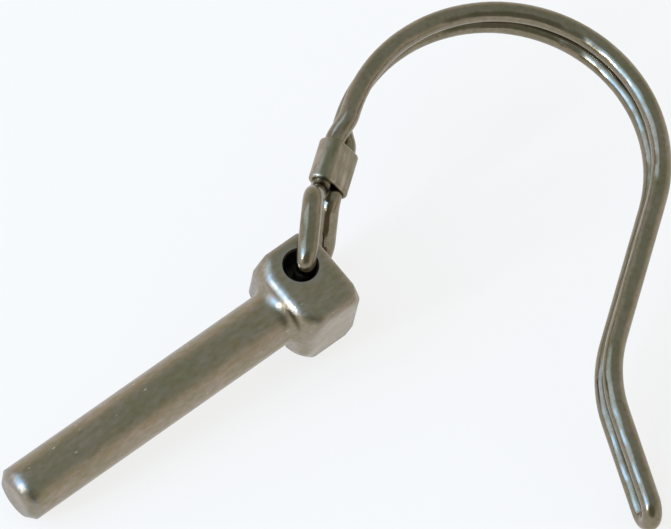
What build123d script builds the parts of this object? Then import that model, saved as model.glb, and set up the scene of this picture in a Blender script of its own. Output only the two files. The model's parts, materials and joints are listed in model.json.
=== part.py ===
from build123d import *

import os
from math import atan2, cos, hypot, radians, sin, sqrt, tan

# Lynch pin: a turned pin with a square head, and a bail of doubled spring wire that swings
# in the head's cross hole. A pressed sleeve binds the two strands beside the head.
# Everything is drawn about the hinge, the middle of the wire where it hangs in the hole:
# Z runs up the cross hole and +X along the shank.
# The last step lays the pieces on the floor as they come to rest, +Z up.
# Lengths are millimetres and angles are degrees.

# Pin
shank_dia = 8.0
shank_length = 45.3
tip_chamfer = 1.0
neck_fillet = 1.3
head_width = 12.7
head_length = 9.4
head_edge_radius = 1.0
front_face_share = 1.024
rear_face_share = 1.118
head_cone_angle = 45.0
hole_dia = 4.6
hole_edge_break = 0.25
hole_from_rear = 4.3
hole_offset = 2.1
wire_seat = 0.62
wire_seat_angle = 144.0
cut_overrun = 1.0

# Bail
wire_dia = 2.8
head_clearance = 0.3
mouth_bend_radius = 2.2
eye_margin = 0.1
eye_closing_length = 3.8
eye_near_side = 1.7
eye_far_side = -1.6
eye_bend_radius = 2.5
strand_pitch = 4.1
strand_lean = 0.6
spread_length = 3.0
spread_bend_radius = 3.0
leg_length = 0.4
leg_side = 0.6
bow_radius = 21.9
return_leg_length = 27.3
kick_angle = 32.5
kick_bend_radius = 20.0
tip_length = 19.3
open_angle = 215.7

# Sleeve
sleeve_length = 6.2
sleeve_wall = 0.55
sleeve_edge_radius = 0.3
sleeve_clearance = 0.02
sleeve_end_gap = 0.15
sleeve_twist = 39.0
sleeve_shift = 0.35
strand_gap = 0.04
butt_gap = 0.2

# Places on the pin that follow from the sizes above
shank_radius = shank_dia / 2
wire_radius = wire_dia / 2
head_half = head_width / 2
front_face_radius = head_half * front_face_share
rear_face_radius = head_half * rear_face_share
hole_radius = hole_dia / 2
hole_x = -wire_seat * cos(radians(wire_seat_angle))
hole_y = -wire_seat * sin(radians(wire_seat_angle))
head_rear = hole_x - hole_from_rear
head_front = head_rear + head_length
axis_side = hole_y + hole_offset

# The strands pass the head's corners before they close in on each other
strand_lift = head_half + head_clearance + wire_radius
corner_along = max(head_front, -head_rear) - head_edge_radius
corner_across = axis_side + head_half - head_edge_radius
eye_run = hypot(corner_along, corner_across) + head_edge_radius + eye_margin

# Strands in the sleeve
sleeve_pitch = wire_dia + strand_gap
sleeve_side = sleeve_pitch / 2 * sin(radians(sleeve_twist))
sleeve_rise = sleeve_pitch / 2 * cos(radians(sleeve_twist))
closing_end = eye_run + eye_closing_length
closing_side = abs(eye_far_side - sleeve_shift + sleeve_side)
closing_turn = atan2(hypot(closing_side, strand_lift - sleeve_rise), eye_closing_length)
sleeve_start = closing_end + eye_bend_radius * tan(closing_turn / 2) + sleeve_end_gap
sleeve_end = sleeve_start + sleeve_length
sleeve_middle = sleeve_start + sleeve_length / 2

# Strands between the sleeve and the bow
spread_side = abs(leg_side - sleeve_shift) + sleeve_side + strand_lean / 2
spread_turn = atan2(hypot(spread_side, strand_pitch / 2 - sleeve_rise), spread_length)
spread_run_in = spread_bend_radius * tan(spread_turn / 2)
spread_start = sleeve_end + sleeve_end_gap + spread_run_in
spread_end = spread_start + spread_length
bow_start = spread_end + spread_run_in + leg_length

# Strands in the straight leg and the kicked tip
near_side = leg_side - strand_lean / 2
far_side = leg_side + strand_lean / 2
kick_along = cos(radians(kick_angle))
kick_across = sin(radians(kick_angle))
kick_place = bow_start - return_leg_length
tip_end = kick_place - tip_length * kick_along
tip_side = leg_side - 2 * bow_radius - tip_length * kick_across
tip_radius = hypot(strand_pitch, strand_lean * kick_along) / 2


def make_pin():
    """Shank and head in one piece, turned from square bar, with the head drilled across."""
    corner = head_half * sqrt(2)
    slope = tan(radians(head_cone_angle))
    rear_cone = (corner - rear_face_radius) / slope
    front_cone = (corner - front_face_radius) / slope
    turned_outline = Polyline(
        (head_rear, 0),
        (head_rear, rear_face_radius),
        (head_rear + rear_cone, corner),
        (head_front - front_cone, corner),
        (head_front, front_face_radius),
        (head_front, 0),
        close=True,
    )
    turned = revolve(make_face(turned_outline), Axis.X)
    bar = Pos(X=head_front - head_length / 2) * Box(head_length, head_width, head_width)
    head = fillet((bar & turned).edges(), head_edge_radius)

    shank_end = head_front + shank_length
    neck = (head_front, shank_radius + neck_fillet)
    neck_foot = (head_front + neck_fillet, shank_radius)
    neck_bend = JernArc(neck, (0, -1), neck_fillet, 90)
    shank_outline = neck_bend + Polyline(
        neck_foot,
        (shank_end - tip_chamfer, shank_radius),
        (shank_end, shank_radius - tip_chamfer),
        (shank_end, 0),
        (head_front, 0),
        neck,
    )
    shank = revolve(make_face(shank_outline), Axis.X)

    bore = Cylinder(hole_radius, head_width + 2 * cut_overrun)
    edge_break = Cone(hole_radius, hole_radius + hole_edge_break, hole_edge_break)
    upper_mouth = Pos(Z=head_half - hole_edge_break / 2) * edge_break
    lower_mouth = Rot(X=180) * upper_mouth
    hole = Pos(hole_x, hole_y) * (bore + upper_mouth + lower_mouth)
    return Pos(Y=axis_side) * (head + shank) - hole


def tip_point(side, height):
    """Where a strand ends its kicked run, square to the other strand's end."""
    spread = side - leg_side
    slip = spread * kick_across
    return (tip_end - slip * kick_along, tip_side + spread - slip * kick_across, height)


def bail_route():
    """Centre line of the wire: out of the sleeve, through the head, round the bow and back."""
    near = strand_pitch / 2
    far = -near
    near_in_sleeve = (sleeve_shift + sleeve_side, sleeve_rise)
    far_in_sleeve = (sleeve_shift - sleeve_side, -sleeve_rise)

    eye = FilletPolyline(
        (sleeve_middle - butt_gap / 2, *far_in_sleeve),
        (closing_end, *far_in_sleeve),
        (eye_run, eye_far_side, -strand_lift),
        (0, 0, -strand_lift),
        (0, 0, strand_lift),
        (eye_run, eye_near_side, strand_lift),
        (closing_end, *near_in_sleeve),
        (spread_start, *near_in_sleeve),
        (spread_end, near_side, near),
        (bow_start, near_side, near),
        radius=[
            eye_bend_radius,
            eye_bend_radius,
            mouth_bend_radius,
            mouth_bend_radius,
            eye_bend_radius,
            eye_bend_radius,
            spread_bend_radius,
            spread_bend_radius,
        ],
    )
    tail = FilletPolyline(
        (bow_start, far_side, far),
        (spread_end, far_side, far),
        (spread_start, *far_in_sleeve),
        (sleeve_middle + butt_gap / 2, *far_in_sleeve),
        radius=[spread_bend_radius, spread_bend_radius],
    )

    def bow(side, height):
        return ThreePointArc(
            (bow_start, side, height),
            (bow_start + bow_radius, side - bow_radius, height),
            (bow_start, side - 2 * bow_radius, height),
        )

    def kicked_leg(side, height):
        return FilletPolyline(
            (bow_start, side - 2 * bow_radius, height),
            (kick_place, side - 2 * bow_radius, height),
            tip_point(side, height),
            radius=[kick_bend_radius],
        )

    tip_bend = ThreePointArc(
        tip_point(near_side, near),
        (tip_end - tip_radius * kick_along, tip_side - tip_radius * kick_across, 0),
        tip_point(far_side, far),
    )
    runs = [
        eye,
        bow(near_side, near),
        kicked_leg(near_side, near),
        tip_bend,
        kicked_leg(far_side, far),
        bow(far_side, far),
        tail,
    ]
    return Wire([edge for run in runs for edge in run.edges()])


def make_wire_bail():
    """One spring wire, doubled along its whole length, with its two ends butted in the sleeve."""
    route = bail_route()
    section = Plane(origin=route @ 0, z_dir=route % 0) * Circle(wire_radius)
    return Rot(Z=open_angle) * sweep(section, path=route)


def make_sleeve():
    """Flattened tube pressed over the two strands."""
    bore_dia = wire_dia + 2 * sleeve_clearance
    across = Plane(origin=(sleeve_start, sleeve_shift, 0), x_dir=(0, 1, 0), z_dir=(1, 0, 0))
    outline = SlotCenterToCenter(sleeve_pitch, bore_dia + 2 * sleeve_wall, rotation=90 - sleeve_twist)
    bore = SlotCenterToCenter(sleeve_pitch, bore_dia, rotation=90 - sleeve_twist)
    body = extrude(across * outline, sleeve_length)
    ends = body.faces().sort_by(Axis.X)
    body = fillet(ends[0].edges() + ends[-1].edges(), sleeve_edge_radius)
    return Rot(Z=open_angle) * (body - extrude(across * bore, sleeve_length))


def resting_plane():
    """The floor under the three feet: the wire below the head, the pin's tip and the bail's tip."""
    turn = Rot(Z=open_angle)
    eye_foot_side = eye_far_side * mouth_bend_radius / eye_run
    eye_foot = (turn * Pos(mouth_bend_radius, eye_foot_side, -strand_lift - wire_radius)).position
    bail_foot = (turn * Pos(*tip_point(far_side, -strand_pitch / 2 - wire_radius))).position
    pin_foot = Vector(head_front + shank_length - tip_chamfer, axis_side, -shank_radius)
    upward = (pin_foot - eye_foot).cross(bail_foot - eye_foot).normalized()
    along_shank = Vector(1, 0, 0) - upward * upward.X
    return Plane(origin=eye_foot, x_dir=along_shank, z_dir=upward)


def laid_down(pieces):
    """Pieces set on the floor, with the origin under the middle of their box."""
    floor = resting_plane().location.inverse()
    laid = {name: floor * piece for name, piece in pieces.items()}
    box = Compound(list(laid.values())).bounding_box()
    middle = box.center()
    place = Pos(-middle.X, -middle.Y, -box.min.Z)
    return {name: place * piece for name, piece in laid.items()}


def main():
    pieces = laid_down({"pin": make_pin(), "wire_bail": make_wire_bail(), "ferrule": make_sleeve()})
    os.makedirs("parts", exist_ok=True)
    for name, piece in pieces.items():
        export_step(piece, f"parts/{name}.step")


if __name__ == "__main__":
    main()
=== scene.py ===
import json
from math import radians

import bmesh
import bpy
from mathutils import Euler, Matrix, Vector

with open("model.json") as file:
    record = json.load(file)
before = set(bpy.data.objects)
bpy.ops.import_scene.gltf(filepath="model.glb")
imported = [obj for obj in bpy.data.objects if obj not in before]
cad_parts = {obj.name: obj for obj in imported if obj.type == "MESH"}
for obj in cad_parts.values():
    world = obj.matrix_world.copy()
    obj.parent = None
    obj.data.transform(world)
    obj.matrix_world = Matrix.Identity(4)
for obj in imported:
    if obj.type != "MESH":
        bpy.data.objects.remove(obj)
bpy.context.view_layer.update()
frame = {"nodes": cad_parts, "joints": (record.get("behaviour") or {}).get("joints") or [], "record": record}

# Camera
view_azimuth = 132.865
view_elevation = 56.104
view_roll = 9.252
view_target = (-0.001851, -0.016025, 0.011095)
view_distance = 1.160
view_lens_mm = 455.9
view_sensor_mm = 36.0

# Studio
floor_half_width = 6.0
floor_colour = (0.95, 0.92, 0.87, 1.0)
floor_roughness = 0.9
backdrop_share = 0.78
room_wall_colour = (0.87, 0.83, 0.77, 1.0)
room_ceiling_colour = (0.48, 0.54, 0.52, 1.0)
room_wall_top = 0.15
room_ceiling_start = 0.75
dark_corner_colour = (0.26, 0.28, 0.23, 1.0)
dark_corner_toward = (0.58, 0.69, 0.42)
dark_corner_edge = (0.70, 0.92)
room_strength = 1.0
window_lamp = {
    "toward": (0.72, -0.42, 0.52),
    "distance": 0.9,
    "size": (1.10, 1.00),
    "power": 5.6,
    "colour": (0.42, 0.64, 1.0),
}
sky_lamp = {
    "toward": (0.86, -0.27, 0.43),
    "distance": 0.9,
    "size": (0.55, 0.46),
    "power": 3.9,
    "colour": (0.14, 0.41, 0.95),
}
bulb_lamp = {
    "toward": (0.955, -0.09, 0.28),
    "distance": 0.9,
    "size": (0.08, 0.08),
    "power": 2.1,
    "colour": (1.0, 0.98, 0.94),
}

# Marks are set out in millimetres about the hinge: X along the shank, Z up the cross hole.
# At rest the bail stands at an angle from the shank, in degrees, and its sleeve with it.
mm_per_metre = 1000.0
bail_turn = 215.7
# Painted shade: the hole's wall and the wire inside it are darkened, as if little light got in. The rim's
# reach ends the softened edges.
pin_hole = {
    "shift": (-0.50, 0.36, 0.0),
    "painted_hole_shade": {"Radius": 2.5, "Depth": 6.2},
    "rim": {"Radius": 3.4, "Depth": 8.0},
}
wire_in_hole = {
    "shift": (0.0, 0.0, 0.0),
    "painted_hole_shade": {"Radius": 1.9, "Depth": 6.0},
    "rim": {"Radius": 1.9, "Depth": 6.0},
}

# Rubbed edges: how far the surface turns where the wear starts and where it is full, as a cosine,
# and the noise that bites into it
edge_turn = (0.995, 0.90)
edge_wear_samples = 6
bite_noise = {"scale": 1.3, "detail": 5.0, "roughness": 0.65}
bite_range = (0.36, 0.62)

# Plating: the noise of each layer and the part of it that shows
cloud_noise = {"detail": 4.0, "roughness": 0.55}
cloud_range = (0.32, 0.68)
mottle_noise = {"detail": 2.0, "roughness": 0.5}
mottle_range = (0.3, 0.7)
stain_noise = {"scale": 0.85, "detail": 4.0, "roughness": 0.6}
stain_range = (0.56, 0.72)
speck_reach = (0.14, 0.05)
speck_left_out = 0.5
speck_cluster_noise = {"scale": 0.11, "detail": 1.0, "roughness": 0.5}
speck_cluster_range = (0.53, 0.60)
speck_dulling = 0.2
speck_pit = 0.8

# Tool marks and dents
fine_mark_noise = {"detail": 3.0, "roughness": 0.6}
streak_noise = {"detail": 2.0, "roughness": 0.5}
streak_range = (0.34, 0.66)
streak_coarseness = 0.37
dent_noise = {"detail": 0.0, "roughness": 0.5}
soft_edge_samples = 8

# Painted shade inside the cross hole, on its wall and on the wire within it: how softly it ends beside the
# hole's wall and towards its mouths, in millimetres
hole_shade_side_fade = (-0.12, 0.05)
hole_shade_mouth_fade = (-0.2, 1.4)
hole_shade_dulling = 0.3

# The whole range of a mask, and a Mix node's places for two colours and for their mixture
whole = (0.0, 1.0)
mix_first = 6
mix_second = 7
mix_result = 2


def shader_node(tree, kind, place, **settings):
    """One node of a shader tree, with its settings."""
    made = tree.nodes.new(kind)
    made.location = place
    for name, value in settings.items():
        setattr(made, name, value)
    return made


def join(tree, start, end):
    """A link from an output to an input."""
    tree.links.new(start, end)


def set_input(tree, socket, value):
    """An input that takes another node's output or a plain value."""
    if isinstance(value, bpy.types.NodeSocket):
        join(tree, value, socket)
    else:
        socket.default_value = value


def feed(tree, node, values):
    """A node's inputs by name."""
    for label, value in values.items():
        set_input(tree, node.inputs[label], value)


def new_group(name, inputs, outputs):
    """An empty shader group with a vector, named values and outputs, and the sockets inside it."""
    tree = bpy.data.node_groups.new(name, "ShaderNodeTree")
    tree.interface.new_socket("Vector", in_out="INPUT", socket_type="NodeSocketVector")
    for label in inputs:
        tree.interface.new_socket(label, in_out="INPUT", socket_type="NodeSocketFloat")
    for label in outputs:
        tree.interface.new_socket(label, in_out="OUTPUT", socket_type="NodeSocketFloat")
    start = shader_node(tree, "NodeGroupInput", (-900, 0))
    end = shader_node(tree, "NodeGroupOutput", (900, 0))
    return tree, start.outputs, end.inputs


def place_group(tree, group, place, vector, values):
    """A group used in a material, with this material's own values."""
    made = shader_node(tree, "ShaderNodeGroup", place, node_tree=group)
    feed(tree, made, {"Vector": vector, **values})
    return made.outputs


def math_node(tree, operation, place, first, second=0.0, clamp=False):
    """A sum of two sockets or values."""
    made = shader_node(tree, "ShaderNodeMath", place, operation=operation, use_clamp=clamp)
    for socket, value in zip(made.inputs, (first, second)):
        set_input(tree, socket, value)
    return made.outputs["Value"]


def range_node(tree, place, value, limits, results=whole, smooth=False):
    """A socket's value moved from one range to another, held at the ends."""
    made = shader_node(tree, "ShaderNodeMapRange", place, clamp=True)
    if smooth:
        made.interpolation_type = "SMOOTHSTEP"
    feed(
        tree,
        made,
        {
            "Value": value,
            "From Min": limits[0],
            "From Max": limits[1],
            "To Min": results[0],
            "To Max": results[1],
        },
    )
    return made.outputs["Result"]


def mix_colour(tree, place, share, first, second):
    """Two colours mixed by a socket."""
    made = shader_node(tree, "ShaderNodeMix", place, data_type="RGBA")
    join(tree, share, made.inputs["Factor"])
    set_input(tree, made.inputs[mix_first], first)
    set_input(tree, made.inputs[mix_second], second)
    return made.outputs[mix_result]


def dot_product(tree, place, first, second):
    """The cosine between two directions."""
    made = shader_node(tree, "ShaderNodeVectorMath", place, operation="DOT_PRODUCT")
    set_input(tree, made.inputs[0], first)
    set_input(tree, made.inputs[1], second)
    return made.outputs["Value"]


def stretched(tree, place, vector, lengths, turn):
    """Coordinates turned about the hinge, with a pattern drawn out by a length for each axis."""
    made = shader_node(tree, "ShaderNodeMapping", place, vector_type="TEXTURE")
    feed(tree, made, {"Vector": vector, "Rotation": (0.0, 0.0, radians(turn)), "Scale": lengths})
    return made.outputs["Vector"]


def noise(tree, place, vector, scale, detail, roughness):
    """Soft noise from 0 to 1."""
    made = shader_node(tree, "ShaderNodeTexNoise", place, noise_dimensions="3D")
    feed(tree, made, {"Vector": vector, "Scale": scale, "Detail": detail, "Roughness": roughness})
    return made.outputs["Fac"]


def edge_wear_group():
    """Bare, rubbed metal along edges: a mask that is 1 on an edge and ragged beside it."""
    tree, start, end = new_group("edge_wear", ["Width", "Raggedness", "Amount"], ["Mask"])
    rounded = shader_node(tree, "ShaderNodeBevel", (-700, 200), samples=edge_wear_samples)
    join(tree, start["Width"], rounded.inputs["Radius"])
    plain = shader_node(tree, "ShaderNodeNewGeometry", (-700, 0))
    turned = dot_product(tree, (-500, 100), rounded.outputs["Normal"], plain.outputs["Normal"])
    edge = range_node(tree, (-300, 100), turned, edge_turn)
    patches = noise(tree, (-500, -150), start["Vector"], **bite_noise)
    bitten = range_node(tree, (-300, -150), patches, bite_range)
    kept = math_node(tree, "SUBTRACT", (-300, -350), 1.0, start["Raggedness"])
    ragged = math_node(tree, "MULTIPLY", (-100, -200), bitten, start["Raggedness"])
    cover = math_node(tree, "ADD", (100, -200), ragged, kept, clamp=True)
    worn = math_node(tree, "MULTIPLY", (300, 0), edge, cover)
    amount = math_node(tree, "MULTIPLY", (500, 0), worn, start["Amount"], clamp=True)
    join(tree, amount, end["Mask"])
    return tree


def plating_group():
    """Thin plating: slow cloudiness, fine mottling, small stains and specks in clusters."""
    tree, start, end = new_group(
        "plating",
        ["Cloud Scale", "Mottle Scale", "Speck Scale"],
        ["Cloud", "Mottle", "Stain", "Speck"],
    )
    vector = start["Vector"]
    cloud = noise(tree, (-500, 250), vector, start["Cloud Scale"], **cloud_noise)
    join(tree, range_node(tree, (-200, 250), cloud, cloud_range), end["Cloud"])
    mottle = noise(tree, (-500, 500), vector, start["Mottle Scale"], **mottle_noise)
    join(tree, range_node(tree, (-200, 500), mottle, mottle_range), end["Mottle"])
    stain = noise(tree, (-500, 0), vector, **stain_noise)
    join(tree, range_node(tree, (-200, 0), stain, stain_range, smooth=True), end["Stain"])

    cells = shader_node(tree, "ShaderNodeTexVoronoi", (-500, -250), feature="F1")
    feed(tree, cells, {"Vector": vector, "Scale": start["Speck Scale"]})
    near = range_node(tree, (-200, -250), cells.outputs["Distance"], speck_reach)
    draw = shader_node(tree, "ShaderNodeSeparateColor", (-300, -450))
    join(tree, cells.outputs["Color"], draw.inputs["Color"])
    chosen = math_node(tree, "GREATER_THAN", (-100, -450), draw.outputs["Red"], speck_left_out)
    speck = math_node(tree, "MULTIPLY", (200, -300), near, chosen)
    spots = noise(tree, (-500, -650), vector, **speck_cluster_noise)
    cluster = range_node(tree, (-200, -650), spots, speck_cluster_range)
    join(tree, math_node(tree, "MULTIPLY", (400, -300), speck, cluster), end["Speck"])
    return tree


def tool_marks_group():
    """Marks left by tools: fine relief, and broader streaks along the drawn-out direction."""
    tree, start, end = new_group("tool_marks", ["Fineness"], ["Height", "Streak"])
    fine = noise(tree, (-500, 200), start["Vector"], start["Fineness"], **fine_mark_noise)
    join(tree, fine, end["Height"])
    coarse = math_node(tree, "MULTIPLY", (-700, -100), start["Fineness"], streak_coarseness)
    broad = noise(tree, (-500, -100), start["Vector"], coarse, **streak_noise)
    join(tree, range_node(tree, (-200, -100), broad, streak_range), end["Streak"])
    return tree


def hole_shade_and_rim_group():
    """Painted shade in the cross hole, and the reach of its rim: a mask that is 1 well inside the hole."""
    tree, start, end = new_group("hole_shade_and_rim", ["Radius", "Depth"], ["Mask"])
    place = shader_node(tree, "ShaderNodeSeparateXYZ", (-700, 0))
    join(tree, start["Vector"], place.inputs["Vector"])
    along = math_node(tree, "POWER", (-500, 150), place.outputs["X"], 2.0)
    across = math_node(tree, "POWER", (-500, 0), place.outputs["Y"], 2.0)
    square = math_node(tree, "ADD", (-300, 100), along, across)
    reach = math_node(tree, "SQRT", (-150, 100), square)
    spare = math_node(tree, "SUBTRACT", (0, 100), start["Radius"], reach)
    inside = range_node(tree, (150, 100), spare, hole_shade_side_fade, smooth=True)
    height = math_node(tree, "ABSOLUTE", (-500, -200), place.outputs["Z"])
    sunk = math_node(tree, "SUBTRACT", (-300, -200), start["Depth"], height)
    deep = range_node(tree, (-100, -200), sunk, hole_shade_mouth_fade, smooth=True)
    join(tree, math_node(tree, "MULTIPLY", (350, 0), inside, deep), end["Mask"])
    return tree


def hinge_frame():
    """The turn and place that take a point to the pin's own axes about the hinge."""
    joint = frame["joints"][0]
    up = Vector(joint["axis"]).normalized()
    along = Vector(frame["record"]["mounts"][0]["axis"]).normalized()
    across = up.cross(along).normalized()
    turn = Matrix((along, across, up))
    place = turn @ Vector(joint["pos_m"])
    return turn, place


def hinge_coordinates(tree):
    """Object coordinates in millimetres along the pin's own axes."""
    turn, place = hinge_frame()
    point = shader_node(tree, "ShaderNodeTexCoord", (-1700, 0))
    made = shader_node(tree, "ShaderNodeMapping", (-1500, 0), vector_type="POINT")
    feed(
        tree,
        made,
        {
            "Vector": point.outputs["Object"],
            "Scale": (mm_per_metre, mm_per_metre, mm_per_metre),
            "Rotation": turn.to_euler("XYZ"),
            "Location": -place * mm_per_metre,
        },
    )
    return made.outputs["Vector"]


def finish_colour(tree, colours, shares, masks):
    """The layers of a finish, each laid over the last by its mask, from plain plating up."""
    shown = colours["plain"]
    for step, (layer, mask) in enumerate(masks.items()):
        across = 120 * step - 700
        if layer in shares:
            mask = math_node(tree, "MULTIPLY", (across, 150), mask, shares[layer])
        shown = mix_colour(tree, (across, 300), mask, shown, colours[layer])
    return shown


def finish_roughness(tree, roughness, masks):
    """The roughness of a finish: duller in specks and in the painted shade inside the hole, smoother on
    rubbed edges.
    """
    clouded = range_node(tree, (-700, -50), masks["cloud"], whole, roughness["cloud"])
    streaked = range_node(tree, (-700, -250), masks["streak"], whole, roughness["streak"])
    rough = math_node(tree, "ADD", (-500, -100), clouded, streaked)
    changes = {"speck": speck_dulling, "bare": roughness["bare"], "painted_hole_shade": hole_shade_dulling}
    for step, (layer, change) in enumerate(changes.items()):
        if layer in masks:
            across = 150 * step - 350
            share = math_node(tree, "MULTIPLY", (across, -250), masks[layer], change)
            rough = math_node(tree, "ADD", (across, -100), rough, share, clamp=True)
    return rough


def finish_normal(tree, vector, marks, edge_round, height, speck):
    """Softened edges, then shallow dents, then tool marks and pitted specks."""
    soft_edge = shader_node(tree, "ShaderNodeBevel", (-500, -800), samples=soft_edge_samples)
    feed(tree, soft_edge, {"Radius": edge_round})
    dents = noise(tree, (-700, -1100), vector, marks["dent_scale"], **dent_noise)
    dented = shader_node(tree, "ShaderNodeBump", (-400, -1000))
    feed(
        tree,
        dented,
        {"Distance": marks["dent_depth"], "Height": dents, "Normal": soft_edge.outputs["Normal"]},
    )
    pitted = math_node(tree, "MULTIPLY", (-700, -600), speck, speck_pit)
    relief = math_node(tree, "SUBTRACT", (-500, -600), height, pitted)
    tooled = shader_node(tree, "ShaderNodeBump", (-250, -500))
    feed(
        tree,
        tooled,
        {
            "Strength": marks["strength"],
            "Distance": marks["depth"],
            "Height": relief,
            "Normal": dented.outputs["Normal"],
        },
    )
    return tooled.outputs["Normal"]


def metal_finish(name, groups, colours, shares, roughness, marks, wear, plating, hole=None):
    """A plated metal with tool marks and rubbed edges, and painted shade where it meets the hole."""
    material = bpy.data.materials.new(name)
    material.use_nodes = True
    tree = material.node_tree
    shader = tree.nodes["Principled BSDF"]
    shader.inputs["Metallic"].default_value = 1.0
    vector = hinge_coordinates(tree)

    patched = stretched(tree, (-1250, 300), vector, marks["patch_lengths"], marks["turn"])
    skin = place_group(tree, groups["plating"], (-1100, 300), patched, plating)
    drawn_out = stretched(tree, (-1250, -100), vector, marks["lengths"], marks["turn"])
    fineness = {"Fineness": marks["fineness"]}
    tooled = place_group(tree, groups["tool_marks"], (-1100, -100), drawn_out, fineness)
    rubbed = place_group(tree, groups["edge_wear"], (-1100, -400), vector, wear)
    masks = {
        "cloud": skin["Cloud"],
        "streak": tooled["Streak"],
        "stain": skin["Stain"],
        "mottle": skin["Mottle"],
        "speck": skin["Speck"],
        "bare": rubbed["Mask"],
    }
    edge_round = marks["edge_round"]
    if hole:
        from_hole = shader_node(tree, "ShaderNodeMapping", (-1250, -650), vector_type="POINT")
        feed(tree, from_hole, {"Vector": vector, "Location": hole["shift"]})
        about_hole = from_hole.outputs["Vector"]
        # Painted shade: a darker colour well inside the hole, as if little light reached it
        hole_shaded = place_group(tree, groups["hole_shade_and_rim"], (-1100, -650), about_hole, hole["painted_hole_shade"])
        masks["painted_hole_shade"] = hole_shaded["Mask"]
        # The hole's rim stays crisp, so the softening of edges ends there
        rim = place_group(tree, groups["hole_shade_and_rim"], (-1100, -900), about_hole, hole["rim"])
        edge_round = range_node(tree, (-700, -900), rim["Mask"], whole, (edge_round, 0.0))

    normal = finish_normal(tree, vector, marks, edge_round, tooled["Height"], skin["Speck"])
    join(tree, finish_colour(tree, colours, shares, masks), shader.inputs["Base Color"])
    join(tree, finish_roughness(tree, roughness, masks), shader.inputs["Roughness"])
    join(tree, normal, shader.inputs["Normal"])
    return material


def dress(node, material):
    """A finish for one of the part's own pieces."""
    for slot in frame["nodes"][node].material_slots:
        slot.material = material


def lay_floor():
    """A wide pale floor, nearly white to the camera and in the metal, that keeps the shadow."""
    mesh = bpy.data.meshes.new("floor")
    made = bmesh.new()
    bmesh.ops.create_grid(made, x_segments=1, y_segments=1, size=floor_half_width)
    made.to_mesh(mesh)
    made.free()
    floor = bpy.data.objects.new("floor", mesh)
    bpy.context.scene.collection.objects.link(floor)
    paint = bpy.data.materials.new("floor_paint")
    paint.use_nodes = True
    tree = paint.node_tree
    shader = tree.nodes["Principled BSDF"]
    shader.inputs["Base Color"].default_value = floor_colour
    shader.inputs["Roughness"].default_value = floor_roughness
    rays = shader_node(tree, "ShaderNodeLightPath", (-600, 300)).outputs
    looked_at = math_node(
        tree, "ADD", (-400, 300), rays["Is Camera Ray"], rays["Is Glossy Ray"], clamp=True
    )
    seen = math_node(tree, "ADD", (-200, 300), looked_at, rays["Is Transmission Ray"], clamp=True)
    share = math_node(tree, "MULTIPLY", (0, 300), seen, backdrop_share)
    backdrop = shader_node(tree, "ShaderNodeEmission", (0, -300))
    both = shader_node(tree, "ShaderNodeMixShader", (400, 0))
    join(tree, share, both.inputs["Fac"])
    join(tree, shader.outputs["BSDF"], both.inputs[1])
    join(tree, backdrop.outputs["Emission"], both.inputs[2])
    join(tree, both.outputs["Shader"], tree.nodes["Material Output"].inputs["Surface"])
    mesh.materials.append(paint)


def light_room():
    """A soft room: pale walls round the horizon, a dimmer ceiling and one dark corner."""
    world = bpy.data.worlds.new("room")
    world.use_nodes = True
    bpy.context.scene.world = world
    tree = world.node_tree
    glow = tree.nodes["Background"]
    glow.inputs["Strength"].default_value = room_strength
    point = shader_node(tree, "ShaderNodeTexCoord", (-900, 0))
    direction = point.outputs["Generated"]
    height = shader_node(tree, "ShaderNodeSeparateXYZ", (-700, 0))
    join(tree, direction, height.inputs["Vector"])
    ceiling_edge = (room_wall_top, room_ceiling_start)
    overhead = range_node(tree, (-500, 0), height.outputs["Z"], ceiling_edge, smooth=True)
    room = mix_colour(tree, (-300, 0), overhead, room_wall_colour, room_ceiling_colour)
    toward_corner = Vector(dark_corner_toward).normalized()
    facing = dot_product(tree, (-700, -300), direction, toward_corner)
    corner = range_node(tree, (-500, -300), facing, dark_corner_edge, smooth=True)
    colour = mix_colour(tree, (-150, 0), corner, room, dark_corner_colour)
    join(tree, colour, glow.inputs["Color"])


def soft_lamp(name, toward, distance, size, power, colour):
    """A soft lamp with a flat panel, aimed at the middle of the view."""
    lamp = bpy.data.lights.new(name, "AREA")
    lamp.shape = "RECTANGLE"
    lamp.size, lamp.size_y = size
    lamp.energy = power
    lamp.color = colour
    made = bpy.data.objects.new(name, lamp)
    direction = Vector(toward).normalized()
    made.location = Vector(view_target) + direction * distance
    made.rotation_euler = direction.to_track_quat("Z", "Y").to_euler()
    bpy.context.scene.collection.objects.link(made)


def set_camera():
    """A long lens at the photograph's viewing angle."""
    lens = bpy.data.cameras.new("camera")
    lens.lens = view_lens_mm
    lens.sensor_width = view_sensor_mm
    lens.sensor_fit = "HORIZONTAL"
    camera = bpy.data.objects.new("camera", lens)
    aim = Euler((radians(90.0 - view_elevation), 0.0, radians(view_azimuth)), "XYZ").to_matrix()
    turn = aim @ Matrix.Rotation(radians(view_roll), 3, "Z")
    back = turn.col[2]
    camera.location = Vector(view_target) + back * view_distance
    camera.rotation_euler = turn.to_euler()
    bpy.context.scene.collection.objects.link(camera)
    bpy.context.scene.camera = camera


shared_groups = {
    "edge_wear": edge_wear_group(),
    "hole_shade_and_rim": hole_shade_and_rim_group(),
    "plating": plating_group(),
    "tool_marks": tool_marks_group(),
}

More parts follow.
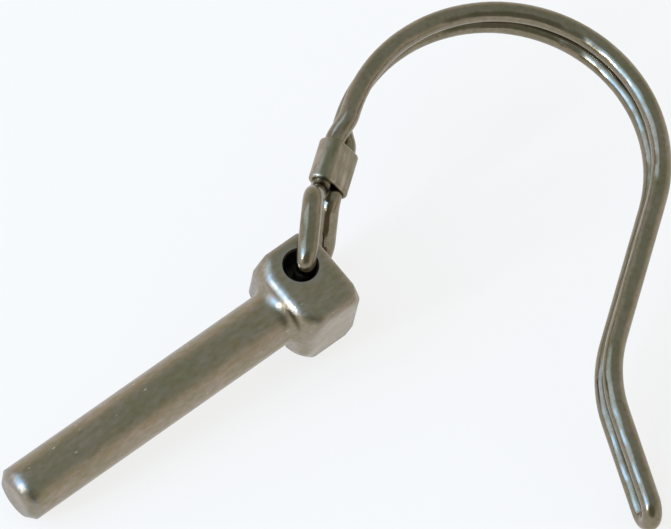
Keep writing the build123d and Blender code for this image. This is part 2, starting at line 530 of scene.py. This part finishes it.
plated_steel = metal_finish(
    "plated_steel",
    shared_groups,
    colours={
        "plain": (0.338, 0.279, 0.225, 1.0),
        "cloud": (0.285, 0.258, 0.19, 1.0),
        "streak": (0.392, 0.322, 0.273, 1.0),
        "stain": (0.339, 0.254, 0.136, 1.0),
        "mottle": (0.2, 0.165, 0.066, 1.0),
        "speck": (0.57, 0.52, 0.445, 1.0),
        "bare": (0.29, 0.305, 0.325, 1.0),
        # The hole colour here is painted shade that darkens the inside of the cross hole
        "painted_hole_shade": (0.05, 0.041, 0.018, 1.0),
    },
    shares={"streak": 0.5, "stain": 0.6, "mottle": 0.5},
    roughness={"cloud": (0.17, 0.26), "streak": (0.0, 0.04), "bare": -0.04},
    marks={
        "lengths": (11.0, 1.0, 1.0),
        "patch_lengths": (2.2, 1.0, 1.0),
        "turn": 0.0,
        "fineness": 1.6,
        "strength": 0.3,
        "depth": 0.00003,
        "edge_round": 0.0026,
        "dent_scale": 0.30,
        "dent_depth": 0.00011,
    },
    wear={"Width": 0.0014, "Raggedness": 0.5, "Amount": 0.9},
    plating={"Cloud Scale": 0.34, "Mottle Scale": 1.6, "Speck Scale": 0.9},
    hole=pin_hole,
)
spring_wire = metal_finish(
    "spring_wire",
    shared_groups,
    colours={
        "plain": (0.28, 0.232, 0.178, 1.0),
        "cloud": (0.22, 0.2, 0.13, 1.0),
        "streak": (0.33, 0.275, 0.218, 1.0),
        "stain": (0.189, 0.142, 0.0858, 1.0),
        "mottle": (0.15, 0.122, 0.062, 1.0),
        "speck": (0.0936, 0.078, 0.0546, 1.0),
        "bare": (0.343, 0.3, 0.242, 1.0),
        # The hole colour here is painted shade that darkens the wire inside the cross hole
        "painted_hole_shade": (0.03, 0.026, 0.018, 1.0),
    },
    shares={"streak": 0.3, "stain": 0.5, "mottle": 0.4},
    roughness={"cloud": (0.13, 0.22), "streak": (0.0, 0.05), "bare": -0.04},
    marks={
        "lengths": (16.0, 16.0, 1.0),
        "patch_lengths": (1.0, 1.0, 1.0),
        "turn": 0.0,
        "fineness": 3.0,
        "strength": 0.2,
        "depth": 0.00002,
        "edge_round": 0.0003,
        "dent_scale": 0.34,
        "dent_depth": 0.00028,
    },
    wear={"Width": 0.0003, "Raggedness": 0.7, "Amount": 0.5},
    plating={"Cloud Scale": 0.22, "Mottle Scale": 1.6, "Speck Scale": 1.3},
    hole=wire_in_hole,
)
pressed_sleeve = metal_finish(
    "pressed_sleeve",
    shared_groups,
    colours={
        "plain": (0.202, 0.184, 0.118, 1.0),
        "cloud": (0.178, 0.174, 0.1, 1.0),
        "streak": (0.43, 0.36, 0.285, 1.0),
        "stain": (0.18, 0.153, 0.0902, 1.0),
        "mottle": (0.15, 0.13, 0.065, 1.0),
        "speck": (0.0984, 0.082, 0.0574, 1.0),
        "bare": (0.377, 0.328, 0.271, 1.0),
    },
    shares={"stain": 0.6, "mottle": 0.5},
    roughness={"cloud": (0.24, 0.34), "streak": (0.0, 0.06), "bare": -0.05},
    marks={
        "lengths": (14.0, 1.0, 1.0),
        "patch_lengths": (2.5, 1.0, 1.0),
        "turn": bail_turn,
        "fineness": 1.3,
        "strength": 0.3,
        "depth": 0.00003,
        "edge_round": 0.0005,
        "dent_scale": 0.45,
        "dent_depth": 0.00020,
    },
    wear={"Width": 0.0003, "Raggedness": 0.5, "Amount": 0.9},
    plating={"Cloud Scale": 0.3, "Mottle Scale": 1.6, "Speck Scale": 1.6},
)
dress("pin", plated_steel)
dress("wire_bail", spring_wire)
dress("ferrule", pressed_sleeve)

lay_floor()
light_room()
soft_lamp("window_lamp", **window_lamp)
soft_lamp("sky_lamp", **sky_lamp)
soft_lamp("bulb_lamp", **bulb_lamp)
set_camera()
bpy.context.scene.view_settings.view_transform = "Standard"
